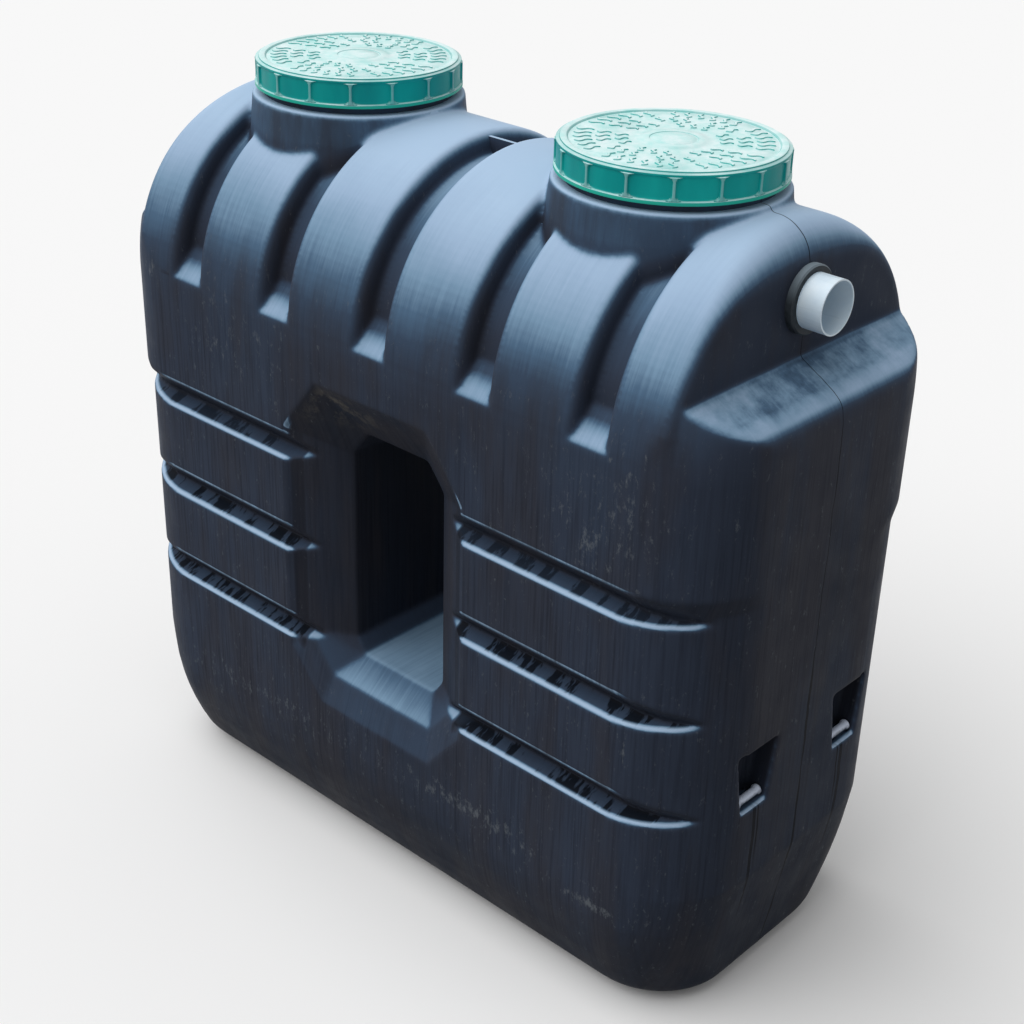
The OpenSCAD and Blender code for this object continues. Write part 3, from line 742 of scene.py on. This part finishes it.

# %% [markdown]
# ## The black plastic
# Old black polyethylene looks nearly black on upright faces. Its colour is a ramp on how far a face looks up,
# which paints dust and a pale blue sky sheen on the faces that look up. The masks below lower that value as
# painted shade in the grooves, the window and on the ends, darken the end shelves, and raise it as painted
# highlights on the lips and lower edges of the side grooves.

# %% Places on the skin
tank_black, tree, shader = new_material("tank_black_polyethylene")
normal = node(tree, "ShaderNodeNewGeometry").outputs["Normal"]
up = part_of(tree, normal, "Z")
endways = size_of(tree, part_of(tree, normal, "X"))
point, x, y, z = placed(tree)
aside = size_of(tree, x)
depth = depth_in_wall(tree)
AXIS, TOP = AXIS_Z * MM, ROOF_TOP * MM     # heights in metres, as the shader reads them

# in_window and in_side mark where painted shade darkens the window flare and the side grooves
in_window = times(tree, between(tree, depth, 0.015, 0.100, 0.25, 1.0), between(tree, aside, 0.30, 0.28),
                  between(tree, z, 1.30, 1.27), 0.9)
beside = times(tree, between(tree, aside, 0.236, 0.246), between(tree, z, 0.50, 0.52),
               between(tree, z, 1.13, 1.11))
in_side = times(tree, between(tree, depth, 0.006, 0.014), beside)
# painted highlight on the downward-facing edge of each side groove's upper lip
arris_highlight = times(tree, between(tree, up, -0.08, -0.16), between(tree, depth, 0.012, 0.007), beside,
              between(tree, aside, 0.25, 0.262), between(tree, aside, 0.74, 0.70))
# painted highlight on the rounded lips of the side grooves
lip = times(tree, between(tree, depth, 0.017, 0.006), between(tree, up, 0.0, 0.6), beside)
# in_roof marks the roof grooves, where painted shade darkens the floor; on_shelf marks the end shelves, which
# are darkened
in_roof = times(tree, between(tree, depth_in_roof(tree), 0.006, 0.034), between(tree, aside, 0.70, 0.67),
                between(tree, z, AXIS + 0.03, AXIS + 0.06))
on_shelf = times(tree, between(tree, aside, 0.765, 0.79), between(tree, aside, 0.892, 0.85),
                 between(tree, up, 0.30, 0.75), between(tree, z, AXIS, AXIS + 0.01),
                 between(tree, z, AXIS + 0.17, AXIS + 0.14),
                 between(tree, noise(tree, 11, 5, seed=17.0, roughness=0.65), 0.30, 0.66, 0.55, 1.35),
                 between(tree, size_of(tree, y), 0.36, 0.22, 0.55, 1.0))
upright = between(tree, up, 0.45, 0.15)
print("places:", len(tree.nodes), "nodes")

# %% Colour by how far a face looks up, with dust and a painted sky sheen
along = noise(tree, 150, 3, (1, 0.03, 0.03), seed=8.0, roughness=0.6)
across = noise(tree, 150, 3, (0.03, 1, 0.03), seed=9.0, roughness=0.6)
streak = node(tree, "ShaderNodeMix", {0: most(tree, endways, on_shelf), 2: along, 3: across},
              data_type="FLOAT").outputs[0]
uneven = total(tree, between(tree, noise(tree, 4, 5, seed=3.0), 0.3, 0.7, -0.06, 0.06),
               between(tree, streak, 0.3, 0.7, -0.03, 0.03), between(tree, z, 1.00, 1.30, -0.05, 0.03))
necks_pale = times(tree, between(tree, z, TOP - 0.10, TOP - 0.05), between(tree, up, 0.5, 0.2), 0.16)
# painted highlights on the groove edges and lips, and paler neck sides
raised = total(tree, necks_pale, times(tree, arris_highlight, 0.95), times(tree, lip, 0.18))
# painted shade in the side grooves, roof grooves and window flare, and on the faces that look along the tank
# below the top; darker end shelves
sunk = most(tree, times(tree, in_side, 0.72), times(tree, in_roof, 0.40), times(tree, in_window, 0.42),
            times(tree, on_shelf, 0.42),
            times(tree, endways, endways, 0.22, between(tree, z, TOP - 0.04, TOP - 0.12)))
painted_light_and_dust = maths(tree, "SUBTRACT", total(tree, up, uneven, raised), sunk)


def graded(tree, value, stops):
    """A colour ramp over a value from 0 to 1, with stops of (place, red, green, blue)."""
    ramp = node(tree, "ShaderNodeValToRGB", {"Fac": value})
    for k, (place, *shade) in enumerate(stops):
        stop = ramp.color_ramp.elements[k] if k < 2 else ramp.color_ramp.elements.new(place)
        stop.position = place
        stop.color = (*shade, 1)
    return ramp.outputs["Color"]


# dust and painted sky sheen: pale blue where a face looks up, nearly black on upright faces
colour = graded(tree, between(tree, painted_light_and_dust, -1, 1),
                [(0.30, 0.020, 0.025, 0.038), (0.49, 0.038, 0.050, 0.079), (0.625, 0.048, 0.076, 0.126),
                 (0.70, 0.085, 0.155, 0.25), (0.775, 0.20, 0.325, 0.465), (0.875, 0.345, 0.48, 0.66),
                 (0.975, 0.43, 0.58, 0.77)])
columns_of_dirt = between(tree, noise(tree, 7, 4, (1, 1, 0.18), seed=41.0, roughness=0.6), 0.46, 0.62)
colour = blend(tree, times(tree, columns_of_dirt, upright, 0.55), colour, (0.036, 0.034, 0.040, 1))
runs = times(tree, between(tree, streak, 0.44, 0.72), upright, between(tree, z, 1.15, 1.42, 0.6, 0.15))
colour = blend(tree, runs, colour, (0.012, 0.014, 0.022, 1))
print("colour:", len(tree.nodes), "nodes")

# %% [markdown]
# ## Wear on the black plastic
# The tank has stood outdoors: pale scuffs on the front and along the foot, earth under the window's arch, dark
# runs over the shelves of the side grooves, drips under the pockets, and a rough seam where the mould parts.
# Each is noise with a threshold, held in place by a mask.

# %% Scuffs, earth and stains
# middle (along, up), half the size (along, up) in metres, and strength
marks = [(0.605, 1.135, 0.030, 0.040, 1.0), (0.735, 1.352, 0.005, 0.030, 1.5), (0.66, 1.20, 0.16, 0.20, 0.45),
         (0.726, 0.690, 0.004, 0.060, 1.2), (-0.734, 1.336, 0.030, 0.030, 0.9),
         (0.30, 0.345, 0.32, 0.035, 0.85), (0.66, 0.285, 0.09, 0.020, 1.2), (-0.45, 1.25, 0.20, 0.16, 0.4),
         (-0.35, 0.32, 0.40, 0.04, 0.6)]
scuffed = 0.0
for mid_x, mid_z, wide, high, strength in marks:
    off_x = maths(tree, "DIVIDE", maths(tree, "SUBTRACT", x, mid_x), wide)
    off_z = maths(tree, "DIVIDE", maths(tree, "SUBTRACT", z, mid_z), high)
    scuffed = most(tree, scuffed, between(tree, length_of(tree, off_x, 0.0, off_z), 1.2, 0.0, 0.0, strength))
scuffed = times(tree, scuffed, between(tree, y, -0.30, -0.35))
low_band = times(tree, between(tree, z, 0.40, 0.31), between(tree, z, 0.20, 0.29), 0.16)
wear_and_rib_highlight = total(tree, noise(tree, 75, 6, (1, 1, 0.45), seed=1.0, roughness=0.8),
             times(tree, most(tree, scuffed, low_band), 0.16))
specks = times(tree, between(tree, wear_and_rib_highlight, 0.60, 0.74), between(tree, up, 0.5, 0.3),
               between(tree, in_window, 0.6, 0.2))
colour = blend(tree, times(tree, specks, 0.55), colour, (0.16, 0.18, 0.20, 1))
earth = times(tree, between(tree, noise(tree, 22, 6, seed=31.0, roughness=0.75), 0.48, 0.62),
              between(tree, x, 0.02, -0.08), between(tree, x, -0.36, -0.28), between(tree, z, 1.10, 1.18),
              between(tree, z, 1.30, 1.26), between(tree, depth, 0.002, 0.02), between(tree, y, -0.2, -0.3))
colour = blend(tree, times(tree, earth, 0.7), colour, (0.125, 0.115, 0.100, 1))
stains = times(tree, between(tree, noise(tree, 26, 5, (1, 0.22, 0.22), seed=14.0, roughness=0.62), 0.50, 0.535),
               in_side, between(tree, up, 0.3, 0.5), between(tree, noise(tree, 3, 2, seed=15.0), 0.36, 0.46),
               between(tree, z, 1.06, 0.98, 0.35, 1.0))
SOOT = (0.002, 0.002, 0.003, 1)
colour = blend(tree, times(tree, stains, 0.85), colour, SOOT)

# %% Seam, drips and surface
wander = between(tree, noise(tree, 12, 3, seed=21.0), 0.2, 0.8, -0.004, 0.004)
off_middle = size_of(tree, maths(tree, "ADD", y, wander))
heavy = times(tree, between(tree, noise(tree, 5, 4, (0.2, 0.2, 1), seed=23.0), 0.42, 0.60, 0.0008, 0.0034),
              between(tree, z, 1.10, 0.95, 0.25, 1.0))
parting = times(tree, between(tree, maths(tree, "SUBTRACT", off_middle, heavy), 0.0012, 0.0),
                between(tree, aside, 0.60, 0.61))
drips = []
for middle, low in ((0.147, 0.36), (0.158, 0.22), (0.163, 0.30)):   # metres from the tank's middle, lower end
    off = size_of(tree, maths(tree, "SUBTRACT", off_middle, middle))
    drips.append(times(tree, between(tree, off, 0.0034, 0.0016), between(tree, z, 0.536, 0.53),
                       between(tree, z, low, low + 0.08)))
parting = most(tree, parting, times(tree, most(tree, *drips), between(tree, aside, 0.70, 0.72)))
colour = blend(tree, times(tree, parting, 0.9), colour, SOOT)


def set_surface(tree, shader, colour, roughness, gloss=None, height=None, strength=0.1):
    """Links the colour and roughness of a finish, and its gloss and fine bumps where it has them."""
    tree.links.new(colour, shader.inputs["Base Color"])
    tree.links.new(roughness, shader.inputs["Roughness"])
    if gloss is not None:
        shader.inputs["Specular IOR Level"].default_value = gloss
    if height is not None:
        bump = node(tree, "ShaderNodeBump", {"Height": height, "Strength": strength, "Distance": 0.002})
        tree.links.new(bump.outputs["Normal"], shader.inputs["Normal"])


set_surface(tree, shader, colour, between(tree, noise(tree, 14, 4, seed=2.0), 0.3, 0.7, 0.42, 0.58), 0.03,
            total(tree, noise(tree, 420, 2, seed=4.0), times(tree, streak, 1.5)), 0.12)
print("tank_black:", len(tree.nodes), "nodes")

# %% [markdown]
# ## Bars, lids, pipes and rubber
# The strap bars get a painted sky sheen on top. The lids are green, with painted sky glare on what looks up,
# painted shade on the slopes of the tread bars and painted highlights on the grip ribs. The pipe stubs are
# light grey, and the rubber is plain and dull, with dust and a painted sky sheen on top.

# %% Anchor bars with a painted sky sheen
bar_black, tree, shader = new_material("anchor_bar_polyethylene")
normal = node(tree, "ShaderNodeNewGeometry").outputs["Normal"]
# painted sky sheen: the faces that look up turn pale blue
painted_sky_sheen = total(tree, part_of(tree, normal, "Z"),
               between(tree, noise(tree, 90, 4, seed=3.0), 0.3, 0.7, -0.3, 0.2))
colour = blend(tree, between(tree, painted_sky_sheen, -0.35, 0.55), (0.03, 0.04, 0.06, 1), (0.62, 0.70, 0.86, 1))
set_surface(tree, shader, colour, between(tree, noise(tree, 60, 3), 0.3, 0.7, 0.3, 0.45))

# %% Green lids
lid_green, tree, shader = new_material("lid_green_polypropylene")
normal = node(tree, "ShaderNodeNewGeometry").outputs["Normal"]
point, x, y, z = placed(tree)
LID_FOOT = LID_TOP - LID_H
deep = blend(tree, between(tree, noise(tree, 12, 4, (1, 1, 0.3)), 0.35, 0.7),
             (0.0, 0.30, 0.295, 1), (0.004, 0.42, 0.39, 1))
low_edge = between(tree, z, (LID_FOOT + 6.6) * MM, (LID_FOOT + 5.4) * MM)
deep = blend(tree, low_edge, deep, (0.02, 0.45, 0.34, 1))
# the pale mint of the painted sky glare
mottled = blend(tree, between(tree, noise(tree, 26, 5, seed=6.0, roughness=0.7), 0.35, 0.65),
                (0.50, 0.84, 0.82, 1), (0.78, 0.94, 0.95, 1))
upward = total(tree, part_of(tree, normal, "Z"),
               between(tree, noise(tree, 9, 4, seed=2.5), 0.3, 0.7, -0.07, 0.05))
# painted sky glare on faces that look up, and painted shade on the sloping sides of the tread bars
painted_sky_glare = graded(tree, upward, [(0.25, 0, 0, 0), (0.55, 0.25, 0.25, 0.25),
                              (0.88, 0.6, 0.6, 0.6), (0.97, 1, 1, 1)])
from_axis = length_of(tree, maths(tree, "SUBTRACT", size_of(tree, x), NECK_X * MM), y, 0.0)
# painted highlight on the outer faces of the grip ribs
wear_and_rib_highlight = times(tree, between(tree, from_axis, (SKIRT_R + 2.6) * MM, (SKIRT_R + 4.2) * MM),
             between(tree, z, (LID_FOOT + 7) * MM, (LID_FOOT + 9) * MM), 0.30)
set_surface(tree, shader, blend(tree, most(tree, painted_sky_glare, wear_and_rib_highlight), deep, mottled),
            between(tree, noise(tree, 18, 3, seed=1.5), 0.3, 0.7, 0.28, 0.42), 0.12, noise(tree, 300, 2), 0.08)

# %% Grey pipe and rubber
pipe_grey, tree, shader = new_material("pipe_grey_pvc")
colour = blend(tree, between(tree, noise(tree, 20, 4, seed=1.0), 0.35, 0.7),
               (0.68, 0.83, 0.96, 1), (0.78, 0.90, 0.98, 1))
set_surface(tree, shader, colour, between(tree, noise(tree, 40, 3, (0.1, 1, 1)), 0.3, 0.7, 0.25, 0.38))

rubber, tree, shader = new_material("seal_rubber")
wear_and_rib_highlight = between(tree, noise(tree, 60, 5, seed=2.0), 0.4, 0.75)
normal = node(tree, "ShaderNodeNewGeometry").outputs["Normal"]
# dust with a painted sky sheen on the faces that look up
dust_and_sky_sheen = between(tree, part_of(tree, normal, "Z"), 0.1, 0.9)
colour = blend(tree, wear_and_rib_highlight, (0.014, 0.019, 0.024, 1), (0.042, 0.052, 0.062, 1))
set_surface(tree, shader, blend(tree, dust_and_sky_sheen, colour, (0.20, 0.25, 0.29, 1)),
            between(tree, wear_and_rib_highlight, 0, 1, 0.55, 0.75), 0.2)
print("finishes ready:", len(bpy.data.materials))

# %% [markdown]
# ## Dressing the frame
# The skin stands for every moulded shell solid and rides on the tank. Each lid piece rides on its cap. The
# collars, gaskets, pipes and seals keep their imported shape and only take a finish.

# %% Materials and rides
SHELL = [name for name in frame["nodes"]
         if any(word in name for word in ("wall", "floor", "window", "roof", "shelf", "neck"))]


def dress(piece, material):
    piece.data.materials.clear()
    piece.data.materials.append(material)


dress(body, tank_black)
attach(body, "tank")
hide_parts(*SHELL)
for side, piece in lids.items():
    dress(piece, lid_green)
    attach(piece, side + "_lid_cap")
    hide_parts(side + "_lid_top", side + "_lid_skirt")
for side, piece in bars.items():
    dress(piece, bar_black)
    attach(piece, "tank")
    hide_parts(side + "_anchor_bars")
kept = {"collar": tank_black, "gasket": rubber, "pipe": pipe_grey, "seal": rubber}
for name in frame["nodes"]:
    for ending, material in kept.items():
        if name.endswith(ending):
            for place in bpy.data.objects[name].material_slots:
                place.material = material
print("shell solids replaced:", len(SHELL))

# %% [markdown]
# ## Floor and light
# A pale floor without an edge, a white surround that the camera sees, and one large soft lamp overhead.
# The surround lights the tank less than the camera sees it, so that the black sides stay dark.

# %% Floor, lamp and surround
bm = bmesh.new()
bmesh.ops.create_grid(bm, x_segments=1, y_segments=1, size=14)
floor_mesh = bpy.data.meshes.new("floor")
bm.to_mesh(floor_mesh)
bm.free()
floor = bpy.data.objects.new("floor", floor_mesh)
bpy.context.collection.objects.link(floor)
floor_paint, tree, shader = new_material("pale_floor")
path = node(tree, "ShaderNodeLightPath").outputs
seen = most(tree, path["Is Camera Ray"], path["Is Glossy Ray"], path["Is Transmission Ray"])
tree.links.new(blend(tree, seen, (0.35, 0.35, 0.35, 1), (0.97, 0.97, 0.97, 1)), shader.inputs["Base Color"])
shader.inputs["Roughness"].default_value = 0.95
shader.inputs["Specular IOR Level"].default_value = 0.0
floor_mesh.materials.append(floor_paint)

lamp_data = bpy.data.lights.new("overhead", "SUN")
lamp_data.energy = 2.1
lamp_data.angle = math.radians(75)
lamp = bpy.data.objects.new("overhead", lamp_data)
bpy.context.collection.objects.link(lamp)
lamp.rotation_euler = Vector((0.42, 0.46, -1)).to_track_quat("-Z", "Y").to_euler()

world = bpy.data.worlds.new("surround")
bpy.context.scene.world = world
world.use_nodes = True
tree = world.node_tree
surround = tree.nodes["Background"]
path = node(tree, "ShaderNodeLightPath").outputs
seen = most(tree, path["Is Camera Ray"], path["Is Glossy Ray"], path["Is Transmission Ray"])
tree.links.new(maths(tree, "MAXIMUM", seen, 0.40), surround.inputs["Strength"])
surround.inputs["Color"].default_value = (1, 1, 1, 1)
bpy.context.scene.view_settings.view_transform = "Standard"
print("floor, lamp and surround ready")
